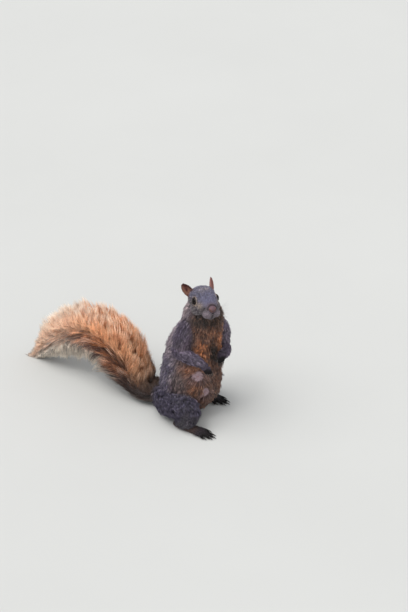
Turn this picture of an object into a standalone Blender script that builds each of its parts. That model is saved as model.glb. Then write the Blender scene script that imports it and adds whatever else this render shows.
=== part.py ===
"""A life-size eastern grey squirrel, sitting up on its haunches with its forepaws held to its chest.

Sizes are in millimetres until the last step. +Z is up, the pelvis faces -Y and the animal's left is +X.
The form is the outside of the coat, and the whole stands on the soles of the hind feet and the tail's tip.
Each piece is a loft through a few sections. The trunk keeps its whole form, and each limb is then
carved where it meets what carries it, with a thin gap, so that the pieces fit without overlap.
"""

import math

import bmesh
import bpy
import numpy as np
from mathutils import Matrix

MM = 0.001
GAP = 0.3  # between neighbouring solids
THIGH_GAP = 0.5  # where a thigh meets the trunk
FLOOR = 0.0
SLIVER = 0.01  # edges shorter than this are dissolved after a cut
DOME_ANGLES = (50,)  # degrees up a rounded end at which it has a ring
SHARP_ANGLE = 60
HEAD_VOXEL = 1.2
HEAD_SMOOTHING = 7

# ------------------------------------------------------------------ the head's own frame
HEAD_TURN = 36.0  # degrees that the head is turned to the animal's right of the pelvis
HEAD_TILT = 24.0  # degrees that the muzzle is raised
HEAD_AT = (-9.0, -35.0, 188.0)  # the point midway between the eyes
CHEST_TURN = 25.0  # the chest is turned part of the way
TURN_FROM, TURN_TO = 50.0, 140.0  # the heights between which the trunk twists

# Along the head: forward of the eyes, above them, half width, height over and depth under that line.
HEAD = (
    (-36, -3, 10, 10, 10),
    (-30, -2, 15.5, 14, 16),
    (-20, -2, 18.2, 17.5, 20),
    (-10, -2, 18.6, 18.5, 21),
    (0, -2.5, 17.0, 16.5, 20.5),
    (9, -5, 15.0, 12.8, 18.5),
    (17, -8, 12.6, 9.2, 15.0),
    (23, -10.5, 10.2, 6.8, 11.0),
    (27, -11.8, 7.0, 5.0, 7.5),
)
MUZZLE_PAD = (19.5, 5.8, -16.8, 7.8)  # forward, outward and above, and radius
CHEEK = (-4.0, 10.5, -11.5, 10.2)
CHIN = (15.0, 0.0, -22.0, 5.5)
NOSE = (27.0, 0.0, -10.6, 4.7)
PAD_STRETCH, CHEEK_STRETCH = (1.1, 0.85, 0.85), (1.1, 0.95, 0.9)
CHIN_STRETCH, NOSE_STRETCH = (1.1, 1.0, 0.7), (0.9, 1.3, 0.9)
HEAD_TRIANGLES = 620
EYE = (0.5, 12.9, -0.8)  # forward, outward and above, of the eyeball's centre
EYE_RADIUS = 5.4
EAR_BASE = (-14.0, 13.3, 6.6)
EAR_LENGTH, EAR_WIDTH, EAR_CUP, EAR_THICK = 18.0, 11.5, 4.0, 1.6
EAR_ROOT, EAR_SWELL, EAR_POINT = 0.95, 0.5, 1.15  # width at the root, its rise and its fall to the tip
# The way that each ear points and the way that its hollow faces, as forward, outward and up.
EARS = {
    "left": ((-0.27, 0.18, 0.94), (0.50, 0.86, 0.0)),
    "right": ((-0.27, 0.55, 0.77), (0.85, 0.40, 0.0)),
}

# ------------------------------------------------------------------ trunk and tail
# Centre, then half width, and radius to the front and to the back.
TRUNK = (
    (0, 6, 10, 23, 21, 22),
    (0, 3, 20, 36, 35, 34),
    (0, 0, 40, 40.5, 44.5, 38),
    (0, -5, 64, 40.5, 44.5, 40),
    (0, -11, 92, 38, 38.5, 39.5),
    (0, -16, 114, 33.5, 32.5, 37),
    (1, -21, 134, 28.5, 29, 29.5),
    (2, -24, 151, 27, 29, 30),
    (-1, -27, 167, 23, 22.5, 27),
    (-4, -29, 178, 18, 16, 22),
)
WAIST_CUT, NECK_CUT = 82.0, 150.0  # heights at which the trunk is parted
# Centre, then half width, and radius above and below.
TAIL = (
    (0, 26, 24, 13, 13, 13),
    (-11, 45, 17.5, 21.5, 16.5, 16),
    (-17, 59, 21.5, 23.5, 20, 21),
    (-17, 75, 37, 25, 29, 38),
    (-17, 93, 61, 28, 38, 53),
    (-17, 115, 77, 28, 41, 56),
    (-17, 143, 81, 27, 41, 51),
    (-17, 175, 68, 25, 39, 43),
    (-18, 205, 47, 23, 33, 34),
    (-19, 227, 23, 16, 19, 19),
    (-20, 241, 6, 8, 9, 9),
)
TAIL_CUTS = (2.6, 4.6, 6.6, 8.2)  # where the tail is parted, counted in the sections above

# ------------------------------------------------------------------ limbs: centre and radius
THIGH = {
    "right": (
        (-20, 26, 19, 17), (-27, 12, 24.5, 23), (-35, -8, 29, 22.5),
        (-39, -28, 32, 19.4), (-42, -38, 32.5, 11.5),
    ),
    "left": ((19, 27, 20, 17), (24, 15, 27, 22.5), (31, 1, 33, 22), (37, -9, 37, 17), (40, -18, 37, 9)),
}
SHANK = {
    "right": ((-42, -35, 30, 14.5), (-43, -33, 20, 14), (-44, -26, 13, 12), (-44, -18, 9, 8)),
    "left": ((39, -12, 34, 13), (37, 2, 24, 13), (32, 13, 14, 11), (30, 19, 9, 7)),
}
UPPER_ARM = {
    "right": ((-20, -16, 144, 13), (-29, -14, 130, 14), (-35, -15, 115, 11)),
    "left": ((18, -29, 141, 13), (28, -32, 119, 14.3), (30, -35, 97, 9.5)),
}
FOREARM = {
    "right": ((-35, -9, 115, 10), (-37, -15, 114, 11), (-36, -28, 110, 9.8), (-32, -43, 105, 7)),
    "left": ((31, -31, 97, 8), (28, -38.5, 97, 10), (17, -47, 97.5, 8.9), (6, -52, 101, 6.7)),
}
# The wrist, the knuckles and the tip of the middle fingers, then the way the fingers spread.
HAND = {
    "right": ((-32, -43, 105), (-29, -49.5, 98.5), (-25, -53.5, 87.5), (0.75, -0.65, 0.0)),
    "left": ((6, -52, 102), (0, -56, 102), (-5, -58, 96), (0.35, -0.75, 0.55)),
}
FINGERS = (-1.5, -0.5, 0.5, 1.5)  # places across the hand, in finger widths
FINGER_WIDTH, FINGER_RADIUS, FINGER_CLOSE = 3.3, 1.5, 0.75
FINGER_CLAW = 4.0
FINGER_TAPER = (1.1, 1.0, 0.9)  # at the knuckle, the middle joint and the tip
FINGER_BEND = 0.8
FINGER_SHORTER = 0.06  # how much the outer fingers fall short of the middle ones
# Part of the way from the wrist to the knuckles, half width, half height over and under.
HAND_SECTIONS = ((-0.15, 4.6, 4.2, 4.2), (0.5, 5.4, 4.2, 4.2), (1, 6.4, 3.6, 3.6))
# The heel and the tip of the middle toe on the floor.
FOOT = {
    "right": ((-46, -12), (-40, -69)),
    "left": ((31, 23), (35, -38)),
}
FOOT_SECTIONS = (  # part of the length, half width, height of the middle, half height
    (0.02, 4.5, 5.0, 4.5),
    (0.14, 6.5, 6.0, 7.0),
    (0.40, 6.8, 5.0, 6.0),
    (0.66, 8.2, 4.2, 4.8),
    (0.78, 7.5, 3.6, 3.8),
)
# Toes from the inner to the outer: place across, where they start and end along the foot.
TOES = ((-1.9, 0.60, 0.80), (-0.95, 0.66, 0.95), (0, 0.66, 1.0), (0.95, 0.66, 0.96), (1.8, 0.58, 0.84))
TOE_WIDTH, TOE_RADIUS = 4.0, 2.1
TOE_HEIGHTS, TOE_TAPER, TOE_FANS = (4.0, 3.9, 2.3), (1.1, 1.05, 0.9), (1, 1, 1.25)  # from root to tip
TOE_BEND = 0.55  # part of a toe's length at which its middle joint lies
TOE_CLAW = 5.0
CLAW_RADIUS = 0.95
CLAW_HOOK = 1.6
CLAW_TAPER = ((0, 1.0), (0.5, 0.75), (1.0, 0.2))  # part of the length, part of the radius

# ------------------------------------------------------------------ colours and finishes
GREY_COAT = ((0.075, 0.068, 0.078, 1), 0.85)
CHEST_COAT = ((0.17, 0.085, 0.045, 1), 0.85)
FACE_COAT = ((0.13, 0.12, 0.135, 1), 0.85)
TAIL_COAT = ((0.45, 0.19, 0.07, 1), 0.85)
PAW_COAT = ((0.035, 0.028, 0.028, 1), 0.8)
EAR_SKIN = ((0.25, 0.09, 0.07, 1), 0.7)
EYE_GLOSS = ((0.006, 0.004, 0.004, 1), 0.08)
CLAW_HORN = ((0.03, 0.025, 0.025, 1), 0.35)


# ------------------------------------------------------------------ tools
def unit(vector):
    return np.asarray(vector, float) / np.linalg.norm(vector)


def through(rows, steps):
    """A smooth (Catmull-Rom) run of rows through the given ones, with steps rows to a span."""
    rows = np.asarray(rows, float)
    padded = np.vstack([2 * rows[0] - rows[1], rows, 2 * rows[-1] - rows[-2]])
    run = []
    for i in range(len(rows) - 1):
        a, b, c, d = padded[i:i + 4]
        for t in np.arange(steps) / steps:
            run.append(0.5 * (2 * b + (c - a) * t + (2 * a - 5 * b + 4 * c - d) * t ** 2
                              + (3 * b - a - 3 * c + d) * t ** 3))
    run.append(rows[-1])
    return np.array(run)


def finished(bm):
    """The mesh of a closed bmesh, with its faces pointing out."""
    bmesh.ops.recalc_face_normals(bm, faces=bm.faces)
    mesh = bpy.data.meshes.new("form")
    bm.to_mesh(mesh)
    bm.free()
    return mesh


def loft(rows, side, sides=18, steps=3, caps=(0.7, 0.7)):
    """A closed tube through rows of centre, half width, and radius towards side x tangent and away.

    Each cap is a dome whose height is that part of the end's radius, or a flat end where it is 0.
    """
    run = through(rows, steps)
    tangents = np.gradient(run[:, :3], axis=0)
    rings = []
    for row, tangent in zip(run, tangents):
        along = unit(tangent)
        across = np.asarray(side(row[:3]) if callable(side) else side, float)
        across = unit(across - along * across.dot(along))
        rings.append((row[:3], along, across, np.cross(across, along), row[3:6]))
    poles = []
    for end, way, cap in ((0, -1, caps[0]), (-1, 1, caps[1])):
        centre, along, across, over, radii = rings[end]
        height = way * cap * radii.mean()
        poles.append(centre + along * height)
        for angle in np.radians(DOME_ANGLES if cap else ()):
            middle = centre + along * height * math.sin(angle)
            ring = (middle, along, across, over, radii * math.cos(angle))
            rings = [ring] + rings if way < 0 else rings + [ring]
    bm = bmesh.new()
    turns = [2 * math.pi * k / sides for k in range(sides)]
    loops = []
    for centre, _, across, over, (width, near, far) in rings:
        loop = []
        for turn in turns:
            depth = near if turn < math.pi else far
            point = centre + across * width * math.cos(turn) + over * math.sin(turn) * depth
            loop.append(bm.verts.new(point))
        loops.append(loop)
    for low, high in zip(loops, loops[1:]):
        for k in range(sides):
            bm.faces.new((low[k], low[(k + 1) % sides], high[(k + 1) % sides], high[k]))
    for loop, pole in zip((loops[0], loops[-1]), poles):
        top = bm.verts.new(pole)
        for k in range(sides):
            bm.faces.new((loop[k], loop[(k + 1) % sides], top))
    return finished(bm)


def tube(rows, sides=12, steps=2, side=(1, 0, 0), caps=(0.9, 0.9)):
    """A round limb through rows of centre and radius."""
    return loft([(x, y, z, r, r, r) for x, y, z, r in rows], side, sides, steps, caps)


def ball(centre, radius, segments=12, rings=8, stretch=(1, 1, 1)):
    bm = bmesh.new()
    bmesh.ops.create_uvsphere(bm, u_segments=segments, v_segments=rings, radius=radius)
    bmesh.ops.scale(bm, vec=stretch, verts=bm.verts)
    bmesh.ops.translate(bm, vec=centre, verts=bm.verts)
    return finished(bm)


def with_modifier(mesh, kind, other=None, **settings):
    """The mesh that a modifier makes of this one; other is a mesh that the modifier works with."""
    things = [bpy.data.objects.new("work", mesh)]
    modifier = things[0].modifiers.new("shape", kind)
    if other is not None:
        things.append(bpy.data.objects.new("tool", other))
        modifier.object = things[1]
    for thing in things:
        bpy.context.scene.collection.objects.link(thing)
    for name, value in settings.items():
        setattr(modifier, name, value)
    bpy.context.view_layer.update()
    result = bpy.data.meshes.new_from_object(things[0].evaluated_get(bpy.context.evaluated_depsgraph_get()))
    for thing in things:
        bpy.data.objects.remove(thing)
    return result


def joined(first, *others):
    for other in others:
        first = with_modifier(first, "BOOLEAN", other, operation="UNION", solver="EXACT")
    return first


def grown(mesh, amount):
    """A copy with each point moved out along its normal."""
    copy = mesh.copy()
    normals = [vertex.normal.copy() for vertex in copy.vertices]
    for vertex, normal in zip(copy.vertices, normals):
        vertex.co += normal * amount
    return copy


def carved(mesh, *forms, gap=GAP, solver="EXACT"):
    """The mesh less each of the forms and the gap around it, keeping only the largest body."""
    for form in forms:
        mesh = with_modifier(mesh, "BOOLEAN", grown(form, gap), operation="DIFFERENCE", solver=solver)
    return largest(mesh)


def largest(mesh):
    bm = bmesh.new()
    bm.from_mesh(mesh)
    left = set(bm.faces)
    bodies = []
    while left:
        front = [left.pop()]
        body = []
        while front:
            face = front.pop()
            body.append(face)
            for other in (near for edge in face.edges for near in edge.link_faces):
                if other in left:
                    left.discard(other)
                    front.append(other)
        bodies.append(body)
    bodies.sort(key=lambda body: sum(face.calc_area() for face in body))
    bmesh.ops.delete(bm, geom=[face for body in bodies[:-1] for face in body], context="FACES")
    bmesh.ops.dissolve_degenerate(bm, dist=SLIVER, edges=bm.edges)
    return finished(bm)


def cut(mesh, point, normal):
    """The part of a mesh on the side of a plane that its normal points to, closed with a flat face."""
    bm = bmesh.new()
    bm.from_mesh(mesh)
    everything = bm.verts[:] + bm.edges[:] + bm.faces[:]
    made = bmesh.ops.bisect_plane(bm, geom=everything, plane_co=point, plane_no=normal, clear_inner=True)
    rim = [piece for piece in made["geom_cut"] if isinstance(piece, bmesh.types.BMEdge)]
    if rim:
        bmesh.ops.holes_fill(bm, edges=rim)
    return finished(bm)


def on_floor(mesh):
    return cut(mesh, (0, 0, FLOOR), (0, 0, 1))


def finish(name, colour, roughness):
    material = bpy.data.materials.new(name)
    material.use_nodes = True
    shader = material.node_tree.nodes["Principled BSDF"]
    shader.inputs["Base Color"].default_value = colour
    shader.inputs["Roughness"].default_value = roughness
    return material


PARTS = {}


def part(name, mesh, look):
    """Keeps a mesh as a named piece, with a finish of its own."""
    mesh.name = name
    mesh.materials.clear()
    mesh.materials.append(finish(name, *look))
    mesh.shade_smooth()
    mesh.set_sharp_from_angle(angle=math.radians(SHARP_ANGLE))
    PARTS[name] = mesh


# ------------------------------------------------------------------ head
def head_frame():
    """The matrix from forward, left and up at the eyes to the animal's frame."""
    turned = Matrix.Rotation(-math.radians(HEAD_TURN), 4, "Z")
    raised = Matrix.Rotation(-math.radians(HEAD_TILT), 4, "X")
    ahead = Matrix(((0, 1, 0, 0), (-1, 0, 0, 0), (0, 0, 1, 0), (0, 0, 0, 1)))
    return Matrix.Translation(HEAD_AT) @ turned @ raised @ ahead


def placed(mesh):
    mesh.transform(head_frame())
    return mesh


def make_head():
    """The skull with its muzzle, eyes and ears. Gives back the skull's form, for its neighbours."""
    rows = [(forward, 0, above, width, over, under) for forward, above, width, over, under in HEAD]
    skull = loft(rows, (0, -1, 0), sides=28)
    lumps = []
    for (forward, outward, above, radius), stretch in ((MUZZLE_PAD, PAD_STRETCH), (CHEEK, CHEEK_STRETCH)):
        lumps += [ball((forward, way * outward, above), radius, stretch=stretch) for way in (1, -1)]
    lumps.append(ball(CHIN[:3], CHIN[3], stretch=CHIN_STRETCH))
    head = with_modifier(joined(skull, *lumps), "REMESH", mode="VOXEL", voxel_size=HEAD_VOXEL)
    head = with_modifier(head, "SMOOTH", factor=0.5, iterations=HEAD_SMOOTHING)
    head = with_modifier(head, "DECIMATE", ratio=HEAD_TRIANGLES / (2 * len(head.polygons)))
    head = joined(head, ball(NOSE[:3], NOSE[3], 10, 6, stretch=NOSE_STRETCH))
    form = placed(head.copy())
    forward, outward, above = EYE
    for name, way in (("left", 1), ("right", -1)):
        eyeball = placed(ball((forward, way * outward, above), EYE_RADIUS))
        part("eye_" + name, eyeball, EYE_GLOSS)
        part("ear_" + name, carved(placed(ear(way, *EARS[name])), form), EAR_SKIN)
    part("head", carved(form, PARTS["eye_left"], PARTS["eye_right"]), FACE_COAT)
    return form


def ear(way, pointing, facing):
    """A cupped leaf with a rounded tip, standing on the base in the head's frame."""
    up = unit((pointing[0], way * pointing[1], pointing[2]))
    hollow = np.array((facing[0], way * facing[1], facing[2]), float)
    hollow = unit(hollow - up * hollow.dot(up))
    across = np.cross(up, hollow)
    root = np.array((EAR_BASE[0], way * EAR_BASE[1], EAR_BASE[2]))
    rows, columns = 5, 4
    bm = bmesh.new()
    grid = []
    for i in range(rows + 1):
        height = i / rows
        half = EAR_WIDTH / 2 * (EAR_ROOT + EAR_SWELL * height - EAR_POINT * height ** 3)
        line = []
        for j in range(columns + 1):
            over = 2 * j / columns - 1
            deep = EAR_CUP * (over ** 2 - 0.5) * 2 * half / EAR_WIDTH
            point = root + up * EAR_LENGTH * height + across * half * over + hollow * deep
            line.append(bm.verts.new(point))
        grid.append(line)
    for low, high in zip(grid, grid[1:]):
        for j in range(columns):
            bm.faces.new((low[j], low[j + 1], high[j + 1], high[j]))
    sheet = bpy.data.meshes.new("ear sheet")
    bm.to_mesh(sheet)
    bm.free()
    return with_modifier(sheet, "SOLIDIFY", thickness=EAR_THICK, offset=0)


# ------------------------------------------------------------------ trunk and neck
def trunk_side(centre):
    """The way to the animal's left at a place in the trunk, which twists towards the head."""
    t = min(max((centre[2] - TURN_FROM) / (TURN_TO - TURN_FROM), 0), 1)
    turn = math.radians(CHEST_TURN) * t * t * (3 - 2 * t)
    return np.array((math.cos(turn), -math.sin(turn), 0))


def make_trunk(head):
    """Belly, chest and neck. Gives back the whole trunk, for its neighbours."""
    whole = on_floor(loft(TRUNK, trunk_side, sides=20, steps=2, caps=(0.3, 0.6)))
    up, down = (0, 0, 1), (0, 0, -1)
    half = GAP / 2
    part("belly", cut(whole, (0, 0, WAIST_CUT - half), down), CHEST_COAT)
    chest = cut(cut(whole, (0, 0, WAIST_CUT + half), up), (0, 0, NECK_CUT - half), down)
    part("chest", carved(chest, head), CHEST_COAT)
    part("neck", carved(cut(whole, (0, 0, NECK_CUT + half), up), head), GREY_COAT)
    return whole


# ------------------------------------------------------------------ limbs
def claw(root, way):
    """A tapered hook that starts at the root and bends down to its tip."""
    rows = []
    for t, width in CLAW_TAPER:
        x, y, z = root + way * t - np.array((0, 0, CLAW_HOOK * t * t))
        rows.append((x, y, z, CLAW_RADIUS * width))
    return tube(rows, sides=5, steps=1, side=(0.6, 0.7, 0.2), caps=(0, 0))


def part_claws(name, paw, claws):
    """Keeps each claw as a piece, and gives the paw back with a socket for each."""
    for number, horn in enumerate(claws, 1):
        part(f"claw_{name}_{number}", horn, CLAW_HORN)
    return carved(paw, *claws, solver="MANIFOLD")


def make_leg(name, trunk):
    """Thigh, shank and foot. Gives back the thigh's form, for its neighbours."""
    thigh = on_floor(tube(THIGH[name], sides=16))
    shank = tube(SHANK[name], sides=12)
    part("thigh_" + name, carved(thigh, trunk, gap=THIGH_GAP), GREY_COAT)
    part("shank_" + name, on_floor(carved(shank, trunk, thigh)), GREY_COAT)
    make_foot(name, trunk, thigh, shank)
    return thigh


def make_foot(name, *forms):
    heel, tip = (np.array((*end, 0.0)) for end in FOOT[name])
    reach = tip - heel
    forward = unit(reach)
    across = np.array((-forward[1], forward[0], 0)) * (1 if name == "left" else -1)
    up = np.array((0, 0, 1.0))
    rows = []
    for along, width, middle, half in FOOT_SECTIONS:
        rows.append((*(heel + reach * along + up * middle), width, half, half))
    foot = loft(rows, across, sides=10, steps=1)
    claws = []
    for place, start, end in TOES:
        middle = start * (1 - TOE_BEND) + end * TOE_BEND
        toe = []
        for along, height, wide, fan in zip((start, middle, end), TOE_HEIGHTS, TOE_TAPER, TOE_FANS):
            centre = heel + reach * along + across * place * TOE_WIDTH * fan + up * height
            toe.append((*centre, TOE_RADIUS * wide))
        foot = joined(foot, tube(toe, sides=6, steps=1, caps=(0, 0.9)))
        root = np.array(toe[-1][:3]) + up * 0.6 + forward * TOE_RADIUS * 0.4
        claws.append(claw(root, forward * TOE_CLAW))
    foot = on_floor(carved(foot, *forms))
    part("foot_" + name, part_claws("foot_" + name, foot, claws), PAW_COAT)


def make_arm(name, trunk, head):
    upper = tube(UPPER_ARM[name], sides=14)
    forearm = tube(FOREARM[name], sides=10, steps=2)
    part("upper_arm_" + name, carved(upper, trunk, head), GREY_COAT)
    part("forearm_" + name, carved(forearm, trunk, upper), PAW_COAT)
    make_hand(name, trunk, forearm)


def make_hand(name, *forms):
    wrist, knuckles, tip, spread = (np.array(place, float) for place in HAND[name])
    spread = unit(spread)
    rows = [(*(wrist + (knuckles - wrist) * along), *radii) for along, *radii in HAND_SECTIONS]
    hand = loft(rows, spread, sides=8, steps=1)
    claws = []
    for place in FINGERS:
        shorter = FINGER_SHORTER * abs(place) ** 1.5
        root = knuckles + spread * place * FINGER_WIDTH
        point = tip + spread * place * FINGER_WIDTH * FINGER_CLOSE + (knuckles - tip) * shorter
        bend = (root + point) / 2 + np.cross(unit(point - root), spread) * FINGER_BEND
        finger = [(*p, FINGER_RADIUS * wide) for p, wide in zip((root, bend, point), FINGER_TAPER)]
        hand = joined(hand, tube(finger, sides=6, steps=1, side=spread, caps=(0, 0.9)))
        way = unit(point - bend)
        claws.append(claw(point + way * FINGER_RADIUS * 0.4, way * FINGER_CLAW))
    hand = part_claws("hand_" + name, carved(hand, *forms), claws)
    part("hand_" + name, hand, PAW_COAT)


# ------------------------------------------------------------------ tail
def make_tail(*forms):
    whole = on_floor(loft(TAIL, (1, 0, 0), sides=18, steps=2, caps=(0.6, 0.7)))
    fine = 50
    path = through([row[:3] for row in TAIL], fine)
    bounds = [None, *TAIL_CUTS, None]
    for number, ends in enumerate(zip(bounds, bounds[1:]), 1):
        length = whole
        for place, way in zip(ends, (1, -1)):
            if place is not None:
                index = round(place * fine)
                along = unit(path[index + 1] - path[index - 1])
                length = cut(length, path[index] + along * way * GAP / 2, along * way)
        if number == 1:
            length = carved(length, *forms)
        part(f"tail_{number}", length, TAIL_COAT)


# ------------------------------------------------------------------ the whole
def clear_scene():
    for thing in list(bpy.data.objects):
        bpy.data.objects.remove(thing)


def stand_on_origin():
    """Brings the middle of the whole box, at floor level, to the origin, and turns sizes into metres."""
    points = [vertex.co for mesh in PARTS.values() for vertex in mesh.vertices]
    middle = [(min(p[i] for p in points) + max(p[i] for p in points)) / 2 for i in (0, 1)]
    shift = Matrix.Translation((-middle[0], -middle[1], -FLOOR))
    collection = bpy.data.collections.new("grey_squirrel")
    bpy.context.scene.collection.children.link(collection)
    for name, mesh in PARTS.items():
        mesh.transform(Matrix.Scale(MM, 4) @ shift)
        collection.objects.link(bpy.data.objects.new(name, mesh))


def build():
    clear_scene()
    head = make_head()
    trunk = make_trunk(head)
    thighs = [make_leg(name, trunk) for name in ("right", "left")]
    for name in ("right", "left"):
        make_arm(name, trunk, head)
    make_tail(trunk, *thighs)
    stand_on_origin()


build()
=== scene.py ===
from itertools import product
from math import cos, pi, radians, sin, sqrt

import bmesh
import bpy
import numpy as np
from mathutils import Matrix, Vector
from mathutils.bvhtree import BVHTree
from mathutils.kdtree import KDTree


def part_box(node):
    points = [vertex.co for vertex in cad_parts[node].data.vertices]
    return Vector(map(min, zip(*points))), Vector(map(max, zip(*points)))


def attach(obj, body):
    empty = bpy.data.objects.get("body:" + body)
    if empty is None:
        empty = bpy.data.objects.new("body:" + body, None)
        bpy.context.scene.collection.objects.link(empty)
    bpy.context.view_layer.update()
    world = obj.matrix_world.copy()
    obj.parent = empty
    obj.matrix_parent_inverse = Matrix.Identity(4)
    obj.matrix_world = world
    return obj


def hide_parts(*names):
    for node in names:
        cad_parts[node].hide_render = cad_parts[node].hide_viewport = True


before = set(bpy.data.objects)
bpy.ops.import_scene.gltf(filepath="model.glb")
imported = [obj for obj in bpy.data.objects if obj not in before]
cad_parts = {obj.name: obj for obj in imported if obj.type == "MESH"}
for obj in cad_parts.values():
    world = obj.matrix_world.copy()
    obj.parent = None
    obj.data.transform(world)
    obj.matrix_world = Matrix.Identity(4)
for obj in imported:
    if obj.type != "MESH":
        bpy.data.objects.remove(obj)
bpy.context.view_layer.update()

MM = 0.001
rng = np.random.default_rng(20261)


# ---- small helpers
def unit(v):
    v = np.asarray(v, float)
    return v / np.maximum(np.linalg.norm(v, axis=-1, keepdims=True), 1e-12)


def ease(low, high, x):
    """From 0 to 1, slowly at both ends, as x goes from low to high."""
    t = np.clip((np.asarray(x, float) - low) / (high - low), 0, 1)
    return t * t * (3 - 2 * t)


def tint(r, g, b):
    """A colour given as the eye names it (0 to 255), as linear light."""
    c = np.array((r, g, b), float) / 255
    return np.where(c <= 0.04045, c / 12.92, ((c + 0.055) / 1.055) ** 2.4)


def blended(a, b, t):
    t = np.asarray(t, float)[..., None]
    return a * (1 - t) + b * t


def waves(p, size, seed, count=14):
    """Smooth noise of about -1 to 1, whose lumps are about size across, in metres."""
    r = np.random.default_rng(seed)
    turns = unit(r.normal(size=(count, 3))) * (2 * pi / (size * r.uniform(1.4, 3.0, (count, 1))))
    phases = r.uniform(0, 2 * pi, count)
    return np.sin(p @ turns.T + phases).sum(1) / sqrt(count / 2) * 0.6


def bell(x, width):
    return np.exp(-(x / width) ** 2)


def layered(base, *coats):
    """A base colour under coats of other colours, each with its share."""
    for colour, share in coats:
        base = blended(base, colour, share)
    return base


def size_of(vectors):
    return np.linalg.norm(vectors, axis=1)


def read(items, key, wide, kind=float):
    values = np.zeros(len(items) * wide, kind)
    items.foreach_get(key, values)
    return values.reshape(-1, wide)


def move(mesh, points):
    mesh.vertices.foreach_set("co", np.asarray(points, np.float32).ravel())


def through(rows, steps):
    """A smooth (Catmull-Rom) run of rows through the given ones."""
    rows = np.asarray(rows, float)
    padded = np.vstack([2 * rows[0] - rows[1], rows, 2 * rows[-1] - rows[-2]])
    run = []
    for i in range(len(rows) - 1):
        a, b, c, d = padded[i:i + 4]
        for t in np.arange(steps) / steps:
            run.append(0.5 * (2 * b + (c - a) * t + (2 * a - 5 * b + 4 * c - d) * t ** 2
                              + (3 * b - a - 3 * c + d) * t ** 3))
    run.append(rows[-1])
    return np.array(run)


def linked(name, data):
    made = bpy.data.objects.new(name, data)
    bpy.context.scene.collection.objects.link(made)
    return made


def thing(name, mesh, look, slot_name, *nodes):
    """A visible piece that rides on the body. The nodes are the solids that it stands for."""
    piece = linked(name, mesh)
    mesh.materials.append(look)
    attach(piece, "root")
    if nodes:
        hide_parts(*nodes)


def evaluated(obj):
    """The mesh that an object's modifiers make. The object is deleted."""
    bpy.context.view_layer.update()
    mesh = bpy.data.meshes.new_from_object(obj.evaluated_get(bpy.context.evaluated_depsgraph_get()))
    bpy.data.objects.remove(obj)
    return mesh


# ---- the head's own frame
HEAD_TURN, HEAD_TILT = 36.0, 24.0  # in degrees
DESIGN_HEAD = np.array((-9.0, -35.0, 188.0))  # the head's own point in the animal's frame, in mm
EYE_MIDDLE = np.array((0.5, 0.0, -0.8))  # forward, left, up of the head's own point
EYE_RADIUS = 5.4
EYE_OUT = {"left": unit((0.36, 0.92, 0.14)), "right": unit((0.36, -0.92, 0.14))}  # the way each eye looks
EYE_LONG = np.array((0.92, 0, -0.30))  # the way that the lids' opening is longest
OPEN_LONG, OPEN_HIGH = 4.8, 3.9  # half the lids' opening, in mm
SOCKET, LID_PROUD = 4.3, 0.55  # the skin's depth behind the eye and its height over the eyeball
NOSE_AT = np.array((28.0, 0.0, -10.6))
NOSE_SIZE = np.array((3.4, 5.0, 4.6))
NOSE_TAPER = ((-1.0, -0.4, 0.3, 1.0), (0.55, 0.74, 1.0, 0.86))  # its width from the bottom to the top
NOSE_HALO = NOSE_SIZE + 0.5  # the outline that the coat keeps off
NOSE_SUNK = 0.7  # how far the skin passes behind the nose's outline


def centre_of(node):
    low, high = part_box(node)
    return np.array((low + high) / 2)


turned = Matrix.Rotation(-radians(HEAD_TURN), 3, "Z") @ Matrix.Rotation(-radians(HEAD_TILT), 3, "X")
AXES = np.array(turned @ Matrix(((0, 1, 0), (-1, 0, 0), (0, 0, 1))))  # columns: forward, left, up
eyes = {side: centre_of("eye_" + side) for side in ("left", "right")}
HEAD_AT = (eyes["left"] + eyes["right"]) / 2 - AXES @ EYE_MIDDLE * MM
SHIFT = HEAD_AT - DESIGN_HEAD * MM


def placed(points):
    """From the animal's own frame in mm to the row frame in metres."""
    return np.asarray(points, float) * MM + SHIFT


def in_head(points):
    """From the row frame to forward, left and up of the head's own point, in mm."""
    return (points - HEAD_AT) @ AXES / MM


def from_head(points):
    return HEAD_AT + np.asarray(points, float) * MM @ AXES.T


# ---- body plan, in mm
TAIL = (  # centre, then half width, and reach above and below
    (0, 26, 24, 13, 13, 13),
    (-11, 45, 17.5, 21.5, 16.5, 16),
    (-17, 59, 21.5, 23.5, 20, 21),
    (-17, 75, 37, 25, 29, 38),
    (-17, 93, 61, 28, 38, 53),
    (-17, 115, 77, 28, 41, 56),
    (-17, 143, 81, 27, 41, 51),
    (-17, 175, 68, 25, 39, 43),
    (-18, 205, 47, 23, 33, 34),
    (-19, 227, 23, 16, 19, 19),
    (-20, 241, 6, 8, 9, 9),
)
# zone: coat depth, tuft length and width in mm, lift at the root and at the tip in degrees, spacing of the
# tufts and of the locks that they gather in, in mm
ZONES = {
    "head": (1.5, 4.2, 0.46, 22, 8, 0.66, 1.35),
    "ear": (0.45, 1.3, 0.32, 12, 4, 0.55, 1.5),
    "neck": (3.7, 8.5, 0.70, 27, 11, 0.88, 1.9),
    "chest": (4.2, 9.5, 0.72, 27, 10, 0.91, 2.0),
    "belly": (4.5, 10.0, 0.74, 27, 10, 0.92, 2.0),
    "thigh": (3.9, 9.0, 0.72, 27, 10, 0.90, 1.9),
    "shank": (2.1, 5.5, 0.60, 24, 7, 0.80, 1.7),
    "foot": (0.35, 1.5, 0.38, 14, 4, 0.74, 1.5),
    "upper_arm": (2.8, 7.5, 0.68, 25, 9, 0.86, 1.8),
    "forearm": (1.7, 5.5, 0.58, 20, 7, 0.78, 1.6),
    "hand": (0.20, 1.0, 0.32, 12, 4, 0.70, 1.4),
    "tail": (0.0, 9.0, 0.80, 24, 8, 0.95, 2.0),
}
PAWS = ("hand", "foot")
MUZZLE = (0.5, 1.9, 0.34, 16, 5, 0.5, 1.3)  # the same for the muzzle, which is a part of the head
MUZZLE_SPACING = 0.52  # of the muzzle's tufts as strewn
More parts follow.
